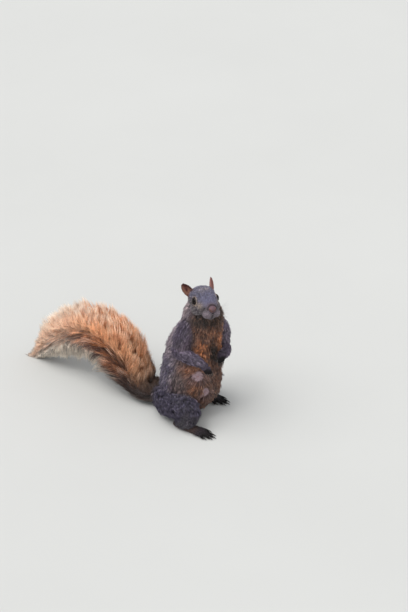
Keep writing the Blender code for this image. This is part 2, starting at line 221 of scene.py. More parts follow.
PLAIN = {"thigh": 0.7, "shank": 0.7, "upper_arm": 0.5, "forearm": 0.6}  # how far a zone is short of pale tips
NAMES = list(ZONES)
SPEC = np.array([ZONES[z] for z in NAMES])
SKIN_TRIANGLES = 190000
SWELL = 0.35 * MM  # closes the gaps between the solids
VOXEL = 0.45 * MM


def zone_of(node):
    return next((z for z in sorted(NAMES, key=len, reverse=True) if node.startswith(z)), None)


flesh = sorted(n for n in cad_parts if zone_of(n))


def share_of(weights, *zones):
    return weights[:, [NAMES.index(z) for z in zones]].sum(1)


# ---- skin
def welded(name):
    """Points, normals and triangles of a node's solid."""
    bm = bmesh.new()
    bm.from_mesh(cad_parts[name].data)
    bmesh.ops.remove_doubles(bm, verts=bm.verts, dist=1e-6)
    bmesh.ops.recalc_face_normals(bm, faces=bm.faces)
    bmesh.ops.triangulate(bm, faces=bm.faces)
    bm.normal_update()
    co = np.array([v.co[:] for v in bm.verts])
    no = np.array([v.normal[:] for v in bm.verts])
    fa = np.array([[v.index for v in f.verts] for f in bm.faces])
    bm.free()
    return co, no, fa


def walls(rings, sides):
    """The triangles between rings of points."""
    faces = []
    for i, k in product(range(rings - 1), range(sides)):
        a, b = i * sides + k, i * sides + (k + 1) % sides
        faces += [(a, b, b + sides), (a, b + sides, a + sides)]
    return faces


def tube_rows(path, radii, sides):
    """Points and faces of a closed round tube."""
    tangent = unit(np.gradient(path, axis=0))
    side = unit(np.cross(tangent, (0.05, 0.02, 1.0)))
    over = np.cross(side, tangent)
    turn = np.arange(sides) * 2 * pi / sides
    rings = (path[:, None] + radii[:, None, None] * (np.cos(turn)[None, :, None] * side[:, None]
             + np.sin(turn)[None, :, None] * over[:, None]))
    points = np.vstack([rings.reshape(-1, 3), path[:1], path[-1:]])
    faces, last = walls(len(path), sides), (len(path) - 1) * sides
    for k in range(sides):
        faces.append((k, last + sides, (k + 1) % sides))
        faces.append((last + k, last + (k + 1) % sides, last + sides + 1))
    return points, np.array(faces)


def mesh_of(name, points, faces):
    mesh = bpy.data.meshes.new(name)
    mesh.vertices.add(len(points))
    move(mesh, points)
    count = faces.shape[1]
    mesh.loops.add(faces.size)
    mesh.loops.foreach_set("vertex_index", faces.astype(np.int32).ravel())
    mesh.polygons.add(len(faces))
    mesh.polygons.foreach_set("loop_start", np.arange(0, faces.size, count, dtype=np.int32))
    mesh.update(calc_edges=True)
    mesh.validate()
    mesh.shade_smooth()
    return mesh


tail_run = through(TAIL, 10)
tail_path = placed(tail_run[:, :3])
tail_at = np.linspace(0, 1, len(tail_run))
CORE = np.interp(tail_at, (0, 0.12, 0.5, 0.9, 1), (9, 7.5, 5.5, 3.5, 2.2)) * MM  # radius of the tail itself


def stacked(pieces):
    """Points and faces of several pieces as one."""
    counts = np.cumsum([0] + [len(points) for points, _ in pieces])
    return (np.vstack([points for points, _ in pieces]),
            np.vstack([faces + count for (_, faces), count in zip(pieces, counts)]))


def body_form():
    """All the flesh as one closed mesh, with the gaps between the solids closed."""
    pieces = []
    for name in flesh:
        if zone_of(name) != "tail":
            co, out, faces = welded(name)
            pieces.append((co + out * (0 if zone_of(name) in PAWS else SWELL), faces))
    pieces.append(tube_rows(tail_path, CORE, 14))
    obj = linked("flesh", mesh_of("flesh", *stacked(pieces)))
    remesh = obj.modifiers.new("one", "REMESH")
    remesh.mode, remesh.voxel_size = "VOXEL", VOXEL
    return evaluated(obj)


PULL = 0.6  # how far one round of smoothing goes


class Surface:
    """Points, triangles and neighbours of a mesh, with smoothing over them."""

    def __init__(self, mesh):
        self.mesh = mesh
        mesh.calc_loop_triangles()
        self.tri = read(mesh.loop_triangles, "vertices", 3, np.int32)
        self.edge = read(mesh.edges, "vertices", 2, np.int32)
        self.co = read(mesh.vertices, "co", 3)
        self.degree = np.maximum(np.bincount(self.edge.ravel(), minlength=len(self.co)), 1)

    def spread(self, values, rounds, keep=None):
        """The values, each brought nearer to its neighbours' mean except where keep is 1."""
        a, b = self.edge.T
        n, shape = len(self.co), values.shape
        values = values.astype(float).reshape(n, -1)
        pull = np.full(n, PULL) if keep is None else PULL * (1 - keep)
        for _ in range(rounds):
            for c in range(values.shape[1]):
                v = values[:, c]
                total = np.bincount(a, v[b], n) + np.bincount(b, v[a], n)
                values[:, c] = v + (total / self.degree - v) * pull
        return values.reshape(shape)

    def normals(self):
        p = self.co[self.tri]
        face = np.cross(p[:, 1] - p[:, 0], p[:, 2] - p[:, 0])
        out = np.zeros_like(self.co)
        for c, k in product(range(3), range(3)):
            out[:, c] += np.bincount(self.tri[:, k], face[:, c], len(self.co))
        return unit(out)


def zone_weights(co):
    """How much each point belongs to each zone, before smoothing, from the nearest solid."""
    solids = [welded(name) for name in flesh]
    points, faces = stacked([(p, f) for p, _, f in solids])
    labels = np.repeat([NAMES.index(zone_of(name)) for name in flesh], [len(f) for _, _, f in solids])
    tree = BVHTree.FromPolygons(points.tolist(), faces.tolist())
    labels = labels[[tree.find_nearest(p)[2] for p in co.tolist()]]
    near_core = np.full(len(co), 1e9)
    for p in tail_path[8::3]:
        near_core = np.minimum(near_core, size_of(co - p))
    labels[(near_core < 10 * MM) & (co[:, 1] > placed((0, 46, 0))[1])] = NAMES.index("tail")
    out = np.zeros((len(co), len(NAMES)))
    out[np.arange(len(co)), labels] = 1
    return out


def from_eyes(points):
    return np.minimum(*(size_of(points - middle) for middle in eyes.values())) / MM


form = Surface(body_form())
where = zone_weights(form.co)
front_of_head = ease(6, 12, in_head(form.co)[:, 0]) * where[:, NAMES.index("head")]
slight = share_of(where, "ear", "hand", "foot")
detail = np.maximum.reduce([slight, front_of_head * 0.85, ease(11, 8, from_eyes(form.co)) * 0.9])
form.co = form.spread(form.co, 6, keep=np.clip(slight, 0, 1) * 0.85)
move(form.mesh, form.co)


def thinned(mesh, weight, triangles):
    """The mesh with fewer triangles where weight is 0."""
    obj = linked("thinning", mesh)
    group = obj.vertex_groups.new(name="coarse")
    for level in (0, 0.25, 0.5, 0.75, 1):
        group.add(np.flatnonzero(np.abs(weight - level) <= 0.125).tolist(), 1 - level, "REPLACE")
    made = obj.modifiers.new("thin", "DECIMATE")
    made.vertex_group, made.vertex_group_factor = "coarse", 1.0
    mesh.calc_loop_triangles()
    made.ratio = min(1.0, triangles / len(mesh.loop_triangles))
    return evaluated(obj)


skin = Surface(thinned(form.mesh, detail, SKIN_TRIANGLES))
weights = skin.spread(zone_weights(skin.co), 8)
weights /= weights.sum(1, keepdims=True)
Z = {name: weights[:, i] for i, name in enumerate(NAMES)}

# ---- where things are on the body
q = in_head(skin.co)
muzzle = Z["head"] * ease(8, 20, q[:, 0] - 0.25 * q[:, 2])
depth = weights @ SPEC[:, 0]
depth = depth * (1 - muzzle) + MUZZLE[0] * muzzle
depth *= 1 - 0.5 * ease(12, 7, from_eyes(skin.co)) * Z["head"]
depth = skin.spread(depth, 12)
normal = skin.normals()
smooth_normal = unit(skin.spread(normal, 10))
blend_in = np.clip(Z["ear"] + Z["hand"] + Z["foot"], 0, 1)[:, None]
push = unit(smooth_normal * (1 - blend_in) + normal * blend_in)
paws = np.clip(Z["hand"] + Z["foot"], 0, 1)
skin.co = skin.co - push * (depth * MM + SWELL * (1 - paws))[:, None]
body_keep = np.clip(Z["ear"] + Z["hand"] + Z["foot"] + Z["head"] * 0.7 + Z["tail"], 0, 1)
skin.co = skin.spread(skin.co, 3, keep=body_keep)


# ---- folds, lids and mouth
def groove(points, path, width, deep):
    """How deep a groove along a path is at each point."""
    best = np.full(len(points), 1e9)
    path = through(path, 6)
    for a, b in zip(path, path[1:]):
        t = np.clip(((points - a) @ (b - a)) / max((b - a) @ (b - a), 1e-12), 0, 1)
        best = np.minimum(best, size_of(points - a - t[:, None] * (b - a)))
    return deep * bell(best, width)


MOUTH = [((27.5, 0.0, -18.0), (26.5, s * 1.0, -20.0), (22.5, s * 4.6, -22.2), (17.0, s * 8.2, -22.4),
          (12.5, s * 9.8, -20.6)) for s in (1, -1)]
SLIT = ((29.5, 0.0, -14.6), (28.8, 0.0, -16.5), (27.8, 0.0, -18.5), (26.0, 0.0, -20.6))
FOLD = [((23.0, s * 8.6, -9.0), (17.5, s * 11.4, -12.5), (11.0, s * 14.0, -17.0)) for s in (1, -1)]
q = in_head(skin.co)
on_head = ease(0.3, 0.7, Z["head"])
lips = [groove(q, path, wide, 1.0) for path, wide in zip((*MOUTH, SLIT), (0.9, 0.9, 0.95))]
lips = np.max(lips, axis=0) * on_head
folds = sum(groove(q, path, 1.8, 1.1) for path in FOLD)
skin.co -= skin.normals() * ((lips * 0.9 + folds * on_head) * MM)[:, None]

# The front of the muzzle gives way to the nose, which is a piece of its own.
q = in_head(skin.co)
nose_high = (q[:, 2] - NOSE_AT[2]) / NOSE_SIZE[2]
from_nose = np.hypot(q[:, 1] / NOSE_SIZE[1] / np.interp(nose_high, *NOSE_TAPER), nose_high)
behind = np.where(from_nose < 1, NOSE_SIZE[0] * np.sqrt(np.maximum(1 - from_nose ** 2, 0)) - NOSE_SUNK,
                  -NOSE_SUNK + 6.0 * (from_nose - 1))
over_nose = np.maximum(q[:, 0] - NOSE_AT[0] - behind, 0) * on_head * (q[:, 0] > 18)
skin.co -= AXES[:, 0] * (over_nose * MM)[:, None]


def eye_axes(side):
    """The ways out of the eye, along its lids' opening and across it."""
    out = AXES @ EYE_OUT[side]
    lengthwise = AXES @ EYE_LONG
    long = unit(lengthwise - out * (out @ lengthwise))
    return out, long, np.cross(out, long)


rim_at = np.full(len(skin.co), 9.0)  # how far from the middle of an eye, where 1 is the edge of its lids
for side, middle in eyes.items():
    out, long, high = eye_axes(side)
    d = (skin.co - middle) / MM
    far = size_of(d)
    near = (far < 12) & (d @ out > 0)
    rim = np.sqrt((d @ long / OPEN_LONG) ** 2 + (d @ high / OPEN_HIGH) ** 2)
    raised = far + (EYE_RADIUS + LID_PROUD - far) * ease(2.1, 1.15, rim)
    moved = middle + d / far[:, None] * np.where(rim < 1.0, SOCKET, raised)[:, None] * MM
    skin.co[near] = moved[near]
    rim_at[near] = np.minimum(rim_at, rim)[near]
move(skin.mesh, skin.co)
skin.mesh.update()


# ---- markings
GREY = tint(84, 78, 98)
BLUE_GREY = tint(110, 101, 124)
ARM = tint(110, 98, 118)
# painted light: a lighter copy of ARM for the far arm, which lies on the shaded side
FAR_ARM_PAINTED_LIGHT = tint(118, 105, 126)
AGOUTI = tint(118, 98, 98)
# painted light: a paler coat for the top of the flank and back, where light from above falls
BACK_PAINTED_LIGHT = tint(160, 144, 156)
NAPE = tint(196, 176, 176)
# painted shade: dark on the rump and thighs by the tail's root, where the tail shades them
TAIL_ROOT_SHADE = tint(52, 38, 34)
RUST = tint(208, 134, 88)
BROWN = tint(114, 79, 64)
# painted shade: dark brown under the chin and in a ring round the pale eye ring
SHADE_BROWN = tint(58, 42, 34)
# a dark streak down the chest: partly dark fur, partly painted shade between the arms
STREAK_AND_SHADE = tint(30, 19, 14)
BUFF = tint(204, 180, 158)
NIPPLE = tint(196, 168, 174)
# a dark brown-grey: the shanks' darker coat and the skin under the tail's hair, and painted shade in the folds from
# the eyes to the mouth and on the trunk beside the arms; it also darkens the trunk towards the floor and a patch
# low on each cheek
DARK_AND_SHADE = tint(50, 40, 42)
PAW = tint(54, 46, 52)
INSTEP = tint(96, 76, 70)
TOES = tint(22, 17, 19)
FACE = tint(112, 103, 110)
# the crown's grey fur, made lighter and bluer on top as a painted highlight from the sky
CROWN_AND_SKY_HIGHLIGHT = tint(112, 110, 138)
FLECK = tint(176, 162, 166)
BRIDGE = tint(122, 98, 106)
PAD = tint(158, 142, 152)
LIP = tint(32, 20, 20)
LID_EDGE = tint(30, 22, 22)
EAR = tint(146, 102, 86)
EAR_PINK = tint(196, 138, 130)
EAR_TIP = tint(86, 42, 40)
NOSE_SKIN = tint(106, 80, 88)
# painted shade on the skin round the lower half of the nose
NOSE_UNDER_SHADE = tint(54, 36, 32)
NOSE_WING = tint(134, 86, 70)
# painted shade inside the nostrils and down the cleft
NOSTRIL_SHADE = tint(20, 11, 11)
PALE_TIP = tint(206, 194, 190)
WARM_TIP = tint(188, 146, 120)
WHISKER = tint(40, 36, 38)
# the tail's own colours, and painted shade for its root
ORANGE = tint(246, 182, 134)
DEEP = tint(212, 132, 84)
UMBER = tint(84, 52, 40)
CREAM = tint(255, 244, 228)
# painted shade for the tail's root, by the rump
TAIL_BASE_SHADE = tint(46, 34, 32)

# the trunk's middle line: height, then the way to the left and back
TRUNK_LINE = ((10, 0, 6), (40, 0, 0), (92, 0, -11), (134, 1, -21), (151, 2, -24), (167, -1, -27), (180, -4, -29))
# bare places: degrees round the trunk, height and radius
NIPPLES = ((-37.5, 74.6, 8.2), (-20, 46.5, 7.2), (38, 73.0, 6.0), (36, 47.0, 5.0))
# rust patches: strength, then the middle and the size in degrees round the trunk and in height
RUST_PATCHES = ((1, (-28, 115), (19, 16)), (1, (52, 118), (26, 17)), (0.5, (-52, 88), (22, 8)),
                (0.35, (-44, 62), (12, 12)))


def trunk_angle(points):
    """Degrees round the trunk from its front, and height: the trunk twists towards the head."""
    z = (points[:, 2] - SHIFT[2]) / MM
    twist = np.radians(25) * ease(50, 140, z)
    high, left, back = np.array(TRUNK_LINE, float).T
    x = points[:, 0] - (np.interp(z, high, left) * MM + SHIFT[0])
    y = points[:, 1] - (np.interp(z, high, back) * MM + SHIFT[1])
    return np.degrees(np.arctan2(x * np.cos(twist) - y * np.sin(twist), -x * np.sin(twist) - y * np.cos(twist))), z


def spots(values, *patches):
    """The sum of soft round patches: each has its strength, then a middle and a size in the values' units."""
    return sum(strength * np.exp(-sum(((v - c) / w) ** 2 for v, c, w in zip(values, middle, size)))
               for strength, middle, size in patches)


bare_at = []  # the place and radius of each bare place, and how far the skin's points are from it, in mm
skin_angle, skin_high = trunk_angle(skin.co)
off_trunk = np.where(Z["belly"] + Z["chest"] > 0.9, 0, 1e6)
for angle, high, radius in NIPPLES:
    at = skin.co[np.argmin(((skin_angle - angle) * 0.6) ** 2 + (skin_high - high) ** 2 + off_trunk)].copy()
    bare_at.append((at, radius, size_of(skin.co - at) / MM))


def tree_of(points):
    tree = KDTree(len(points))
    for i, place in enumerate(points.tolist()):
        tree.insert(place, i)
    tree.balance()
    return tree


arm_tree = tree_of(skin.co[np.flatnonzero(Z["upper_arm"] + Z["forearm"] > 0.5)[::4]])
CLAW_AT = [centre_of(name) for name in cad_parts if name.startswith("claw_")]


def trunk_colour(p, signed, z, angle, soft, by_tail):
    """The colour of neck, chest and belly. signed and z are where a place is, and angle its way from the front."""
    by_arm = np.array([arm_tree.find(place)[2] for place in p.tolist()]) / MM
    # the back: grey to blue-grey round the trunk, with painted light making its upper part paler
    back = layered(AGOUTI, (BLUE_GREY, ease(80, 112, angle)),
                   (BACK_PAINTED_LIGHT, ease(84, 102, z) * ease(84, 118, angle) * 0.95))
    chest = ease(92, 108, z + soft * 0.5) * ease(84, 44, angle) * (0.16 + 0.20 * waves(p, 0.010, 6))
    # the dark chest streak: partly dark fur, partly painted shade between the arms
    streak_and_shade = spots((signed, z), (1.9, (9, 114), (8.5, 15)), (1, (13, 103), (13, 8)))
    nape = spots((signed, z), (1, (-120, 168), (22, 13)), (0.4, (-156, 168), (32, 12)))
    return layered(
        BROWN,
        (back, ease(40, 76, angle)),
        (RUST, np.clip(chest + spots((signed, z), *RUST_PATCHES) * 0.84, 0, 1)),
        (STREAK_AND_SHADE, np.clip(streak_and_shade, 0, 1) * 0.92),
        # painted shade under the chin
        (SHADE_BROWN, (0.12 * ease(138, 148, z) + 0.8 * ease(151, 158, z)) * ease(84, 50, angle)),
        (BUFF, spots((signed, z), (0.25, (84, 164), (22, 14)), (0.45, (62, 66), (16, 30)))),
        (NAPE, np.clip(nape, 0, 1) * 0.62),
        # darker towards the floor
        (DARK_AND_SHADE, ease(24, 8, z) * 0.5),
        # painted shade on the trunk beside the arms
        (DARK_AND_SHADE, ease(7, 1.5, by_arm) * 0.75),
        # painted shade by the tail's root
        (TAIL_ROOT_SHADE, ease(36, 22, by_tail) * 0.85),
        *((NIPPLE, ease(1.6, 0.9, size_of(p - at) / MM / radius) * 0.25) for at, radius, _ in bare_at),
    )


def head_colours(p, rim):
    """The colours of head and ear at a place."""
    f, l, u = in_head(p).T
    on_left, l = ease(-2, 2, l), np.abs(l)
    place, mottle = (f, l, u), waves(p, 0.0035, 7)
    round_nose = size_of((np.stack(place, 1) - NOSE_AT) / NOSE_HALO)
    face = layered(
        FACE,
        # the top of the head: grey fur with a painted sky highlight
        (CROWN_AND_SKY_HIGHLIGHT, ease(-5, 5, u + 0.25 * f)),
        (PAD, np.clip(spots(place, (1.2, (21, 6.5, -17), (7, 6, 4.6))), 0, 0.95)),
        (BUFF, spots(place, (0.62, (14, 11, -5.5), (5.5, 5.5, 3.8)))),
        (FLECK, np.clip(spots(place, (1, (2, 0, 13), (9, 7.5, 7))) * (0.5 + 0.3 * mottle), 0, 1)),
        (BRIDGE, spots(place, (0.8, (27, 0, -5.5), (5, 6, 4)))),
        (LIP, np.clip(spots(place, (1.4, (24, 0, -20), (7, 1.1, 4.6))), 0, 1) * 0.9),
        # painted shade under the nose
        (NOSE_UNDER_SHADE, bell(round_nose - 1.2, 0.24) * ease(-14, -9, u) * 0.8),
        # painted shade under the chin
        (SHADE_BROWN, ease(-19, -25, u) * ease(17, 10, f) * 0.9),
        (DARK_AND_SHADE, spots(place, (0.25, (0, 19, -14), (9, 5, 5)))),
        # painted shade in the folds from the eyes to the mouth
        *((DARK_AND_SHADE, groove(in_head(p), fold, 1.7, 0.9)) for fold in FOLD),
        (BUFF, bell(rim - 1.40, 0.27) * (0.80 + 0.15 * ease(2, -5, u))),
        # painted shade round the pale eye ring
        (SHADE_BROWN, bell(rim - 1.98, 0.20) * 0.45),
    )
    blotch = np.clip(ease(11, 20, u + 4 * mottle) + 0.5 * ease(0.1, 0.6, mottle), 0, 1)
    return face, layered(EAR, (EAR_PINK, on_left * 0.8), (EAR_TIP, blotch * (1 - 0.75 * on_left)))


def markings(p, zone, rim):
    """The colour of skin and coat at a place. zone holds the share of each zone there."""
    signed, z = trunk_angle(p)
    soft = waves(p, 0.02, 5) * 9
    angle = np.abs(signed) + soft
    by_tail = size_of((p - placed((-15, 46, 15))) / MM)
    toes = np.min([size_of(p - at) for at in CLAW_AT], axis=0) / MM
    trunk = trunk_colour(p, signed, z, angle, soft, by_tail)
    face, ear = head_colours(p, rim)
    # the far arm takes the lighter copy, as painted light against its shade
    arm = np.where((p[:, 0] > SHIFT[0])[:, None], FAR_ARM_PAINTED_LIGHT, ARM)
    colour = {
        "head": face,
        "ear": ear,
        "neck": trunk,
        "chest": trunk,
        "belly": trunk,
        # painted shade on the thigh by the tail's root
        "thigh": blended(GREY, TAIL_ROOT_SHADE, ease(34, 20, by_tail) * 0.85),
        "shank": blended(GREY, DARK_AND_SHADE, 0.5),
        "foot": layered(PAW, (TOES, ease(13, 6, toes)), (INSTEP, ease(12, 24, toes) * 0.7)),
        "upper_arm": blended(arm, BROWN, ease(80, 48, angle) * 0.35),
        "forearm": blended(arm, PAW, ease(24, 12, toes) * 0.55),
        "hand": layered(arm, (PAW, 0.55), (TOES, ease(13, 7, toes))),
        "tail": DARK_AND_SHADE,
    }
    return sum(colour[name] * zone[:, i, None] for i, name in enumerate(NAMES))


skin_colour = layered(
    markings(skin.co, weights, rim_at),
    (LIP, np.clip(lips, 0, 1) * 0.9),
    (LID_EDGE, ease(1.16, 1.08, rim_at)),
    *((NIPPLE, ease(radius * 1.25, radius * 0.8, gap)) for _, radius, gap in bare_at),
)


# ---- materials
def colour_attribute(mesh, values):
    made = mesh.attributes.new("coat", "FLOAT_COLOR", "POINT")
    rgba = np.ones((len(values), 4), np.float32)
    rgba[:, :3] = values
    made.data.foreach_set("color", rgba.ravel())


def material(name, roughness, build, **sockets):
    made = bpy.data.materials.new(name)
    made.use_nodes = True
    shader = made.node_tree.nodes["Principled BSDF"]
    shader.inputs["Roughness"].default_value = roughness
    for key, value in sockets.items():
        shader.inputs[key.replace("_", " ")].default_value = value
    build(made.node_tree, shader)
    return made


def node(tree, kind, **values):
    made = tree.nodes.new(kind)
    for key, value in values.items():
        if key in made.inputs:
            made.inputs[key].default_value = value
        else:
            setattr(made, key, value)
    return made


def join(tree, source, output, target, socket):
    tree.links.new(source.outputs[output], target.inputs[socket])


def noise(tree, scale, octaves, rough=0.5):
    made = node(tree, "ShaderNodeTexNoise", Scale=scale, Detail=octaves, Roughness=rough)
    join(tree, node(tree, "ShaderNodeTexCoord"), "Object", made, "Vector")
    return made


def bumped(tree, shader, grain, strength, distance):
    made = node(tree, "ShaderNodeBump", Strength=strength, Distance=distance)
    join(tree, grain, "Fac", made, "Height")
    join(tree, made, "Normal", shader, "Normal")


def varied(low, high, scale, bump=0.0):
    """Colour from the coat attribute, made darker and lighter by noise, with a fine bump."""

    def build(tree, shader):
        ramp = node(tree, "ShaderNodeMapRange", **{"From Min": 0.3, "From Max": 0.7, "To Min": low, "To Max": high})
        join(tree, noise(tree, scale, 3.0), "Fac", ramp, "Value")
        mix = node(tree, "ShaderNodeVectorMath", operation="SCALE")
        join(tree, node(tree, "ShaderNodeAttribute", attribute_name="coat"), "Color", mix, 0)
        join(tree, ramp, "Result", mix, "Scale")
        join(tree, mix, "Vector", shader, "Base Color")
        if bump:
            bumped(tree, shader, noise(tree, 900.0, 4.0, 0.6), bump, 0.0004)

    return build


def plain(colour_a, colour_b, scale, bump=0.0, octaves=3.0, rough=0.6):
    """Two colours mixed by noise, which is the bump as well."""

    def build(tree, shader):
        lumps = noise(tree, scale, octaves, rough)
        mix = node(tree, "ShaderNodeMix", data_type="RGBA", A=(*colour_a, 1), B=(*colour_b, 1))
        join(tree, lumps, "Fac", mix, "Factor")
        join(tree, mix, "Result", shader, "Base Color")
        if bump:
            bumped(tree, shader, lumps, bump, 0.0002)

    return build


SHEEN = {"Specular_IOR_Level": 0.3, "Sheen_Weight": 0.15, "Sheen_Roughness": 0.5}
skin_look = material("skin_fur_bed", 0.8, varied(0.5, 0.85, 500.0, 0.8), Specular_IOR_Level=0.25)
fur_look = material("fur", 0.62, varied(0.82, 1.15, 700.0), **SHEEN)
tail_look = material("tail_hair", 0.58, varied(0.85, 1.15, 400.0), **SHEEN)

colour_attribute(skin.mesh, skin_colour)
skin.mesh.shade_smooth()
thing("skin", skin.mesh, skin_look, "grey_coat", *flesh)


# ---- the lie of the coat
def flattened(v, out):
    """The part of v that is square to out."""
    return v - out * (v * out).sum(1)[:, None]


LIMB_ENDS = {  # from where to where the coat lies, on the right and on the left
    "thigh": ((-18, 32, 40), (-46, -35, 22), (18, 32, 40), (40, -18, 25)),
    "shank": ((-45, -31, 30), (-46, -13, 5), (39, -12, 34), (31, 23, 9)),
    "foot": ((-48, -8, 6), (-43, -65, 2), (31, 23, 6), (35, -38, 2)),
    "upper_arm": ((-20, -16, 144), (-36, -14, 112), (18, -29, 141), (35, -36, 93)),
    "forearm": ((-37, -12, 120), (-32, -43, 100), (31, -36, 106), (10, -54, 92)),
    "hand": ((-32, -43, 106), (-25, -53, 90), (10, -54, 105), (-2, -59, 99)),
}
normal = skin.normals()
flow = -AXES[:, 0] + 0.25 * np.array((0, 0, -1.0)) * ease(4, -10, q[:, 2])[:, None]
flow = flow * Z["head"][:, None]
flow += AXES @ np.array((-0.27, 0, 0.93)) * Z["ear"][:, None]
flow += np.array((0, 0.25, -1)) * share_of(weights, "neck", "chest", "belly")[:, None]
on_left = (skin.co[:, 0] > SHIFT[0])[:, None]
for name, ends in LIMB_ENDS.items():
    right_from, right_to, left_from, left_to = np.array(ends, float)
    flow += np.where(on_left, unit(left_to - left_from), unit(right_to - right_from)) * Z[name][:, None]
flow += np.array((-0.1, 1.0, 0.1)) * Z["tail"][:, None]
for at, radius, _ in bare_at:
    away = skin.co - at
    flow += unit(away) * bell(size_of(away), radius * 1.5 * MM)[:, None] * 2.5
for _ in range(4):
    flow = skin.spread(unit(flattened(flow, normal)), 6)
flow = unit(flattened(flow, normal))

# ---- tufts
PATCH = 0.003  # size of a tuft's place in the OFBake map
ABOVE_FLOOR = 0.0001
ROOT_DEPTH = 0.25 * MM
BEND_AT = 0.58  # the part of a tuft's length below its bend
GATHER_LIMIT = 2.5 * MM  # how far at most a tip comes towards its lock's


def rotate(v, axis, angle):
    c, s = np.cos(angle)[:, None], np.sin(angle)[:, None]
    return v * c + np.cross(axis, v) * s + axis * (v * axis).sum(1)[:, None] * (1 - c)


def hair_mesh(name, centres, sides, ups, widths, colours, uv):
    """Closed three-sided tapered tufts. centres is (count, rings + 1, 3); the last is the tip."""
    count, rings = centres.shape[0], centres.shape[1] - 1
    middle, across = centres[:, :rings], sides * widths[..., None] / 2
    corners = np.stack([middle - across, middle + across, middle + ups * widths[..., None] * 0.45], 2)
    points = np.concatenate([corners.reshape(count, -1, 3), centres[:, -1:]], 1).reshape(-1, 3)
    points[:, 2] = np.maximum(points[:, 2], ABOVE_FLOOR)
    tip = rings * 3
    faces = [(0, 2, 1), *walls(rings, 3), *((tip - 3 + j, tip - 3 + (j + 1) % 3, tip) for j in range(3))]
    every = (np.array(faces)[None] + (np.arange(count) * (tip + 1))[:, None, None]).reshape(-1, 3)
    mesh = mesh_of(name, points, every)
    colours = np.concatenate([np.repeat(colours[:, :rings], 3, axis=1), colours[:, -1:]], 1)
    colour_attribute(mesh, colours.reshape(-1, 3))
    in_patch = [(j / 2 - 0.5, k / rings - 0.5) for k in range(rings) for j in range(3)] + [(0, 0.5)]
    places = (uv[:, None] + np.array(in_patch)[None] * PATCH).reshape(-1, 2)
    layer = mesh.uv_layers.new(name="OFBake")
    layer.data.foreach_set("uv", places[every.ravel()].astype(np.float32).ravel())
    return mesh


def filled(places):
    """Places on an unwrap, stretched to fill the map."""
    low, high = places.min(0), places.max(0)
    return PATCH + (places - low) / (high - low) * (1 - 2 * PATCH)


def fur_piece(name, mask, tufts, places, look, slot_name):
    thing(name, hair_mesh(name, *(each[mask] for each in tufts), filled(places[mask])), look, slot_name)


corner = skin.co[skin.tri]
area = size_of(np.cross(corner[:, 1] - corner[:, 0], corner[:, 2] - corner[:, 0])) / 2
spacing = weights @ SPEC[:, 5]
spacing = spacing * (1 - muzzle) + MUZZLE_SPACING * muzzle
gone = ease(1.22, 1.12, rim_at) + ease(0.35, 0.8, Z["tail"]) + ease(0.45, 0.8, lips)
gone = np.clip(gone, 0, 1)
for _, radius, gap in bare_at:
    gone = np.maximum(gone, 0.97 * ease(radius * 1.05, radius * 0.85, gap))
gone = np.maximum(gone, ease(1.15, 1.0, size_of((in_head(skin.co) - NOSE_AT) / NOSE_HALO)))
density = (1 - gone) / (spacing * MM) ** 2
expected = area * density[skin.tri].mean(1)
total = int(expected.sum())
pick = np.searchsorted(np.cumsum(expected), rng.uniform(0, expected.sum(), total))
share = rng.dirichlet((1, 1, 1), total)


def at_roots(values):
    return (values[skin.tri[pick]] * share.reshape(total, 3, *([1] * (values.ndim - 1)))).sum(1)


root, root_out, root_zone = at_roots(skin.co), unit(at_roots(normal)), at_roots(weights)
root_rim, on_muzzle = at_roots(rim_at), at_roots(muzzle)
lie = unit(flattened(at_roots(flow), root_out))
spec = root_zone @ SPEC
spec = spec * (1 - on_muzzle[:, None]) + np.array(MUZZLE) * on_muzzle[:, None]
near_eye = ease(2.6, 1.5, root_rim)

# Some tufts lead a lock, and the others take after the nearest of these.
leads = np.flatnonzero(rng.uniform(size=total) < (spec[:, 5] / spec[:, 6]) ** 2)
lead_tree = tree_of(root[leads])
lock = np.array([lead_tree.find(place)[1] for place in root.tolist()])
lock_luck = rng.uniform(size=len(leads))[lock]
lock_tone = rng.normal(size=len(leads))[lock]
lock_lift = rng.uniform(0.6, 1.5, len(leads))[lock]
lock_long = rng.uniform(0.85, 1.15, len(leads))[lock]

length = spec[:, 1] * (1 - 0.70 * near_eye) * rng.uniform(0.8, 1.15, total) * lock_long
length *= 1 + 0.10 * waves(root, 0.008, 21)
width = spec[:, 2] * rng.uniform(0.75, 1.2, total) * (1 - 0.3 * near_eye)
for at, radius, _ in bare_at * 3:  # tufts that reach over a bare place are cut short
    to_tip, to_mid = (size_of(root + lie * (length * part * MM)[:, None] - at) / MM for part in (1, 0.5))
    over_bare = np.maximum(ease(radius * 1.1, radius * 0.8, to_tip), ease(radius, radius * 0.8, to_mid))
    length = length * (1 - 0.55 * over_bare)
lift_low = np.radians(spec[:, 3] * rng.uniform(0.7, 1.3, total) * lock_lift)
lift_high = np.radians(spec[:, 4] * rng.uniform(0.3, 1.7, total) * lock_lift)
swing = np.radians(9 * rng.normal(size=total) + 13 * waves(root, 0.010, 31) + 8 * waves(root, 0.004, 32))
way = rotate(lie, root_out, swing)
side = np.cross(root_out, way)
low_way, high_way = (way * np.cos(a)[:, None] + root_out * np.sin(a)[:, None] for a in (lift_low, lift_high))
bottom = root - root_out * ROOT_DEPTH
bend = bottom + low_way * (length * BEND_AT * MM)[:, None]
tip = bend + high_way * (length * (1 - BEND_AT) * MM)[:, None]
to_lead = tip[leads[lock]] - tip
to_lead *= np.minimum(1, GATHER_LIMIT / np.maximum(size_of(to_lead)[:, None], 1e-9))
to_lead *= 0.5 * (1 - 0.6 * on_muzzle)[:, None]
centres = np.stack([bottom, bend + to_lead * 0.35, tip + to_lead], 1)
ups = np.stack([np.cross(low_way, side), np.cross(high_way, side)], 1)
sides = np.stack([side, side], 1)
widths = np.stack([width * 0.85, width], 1) * MM

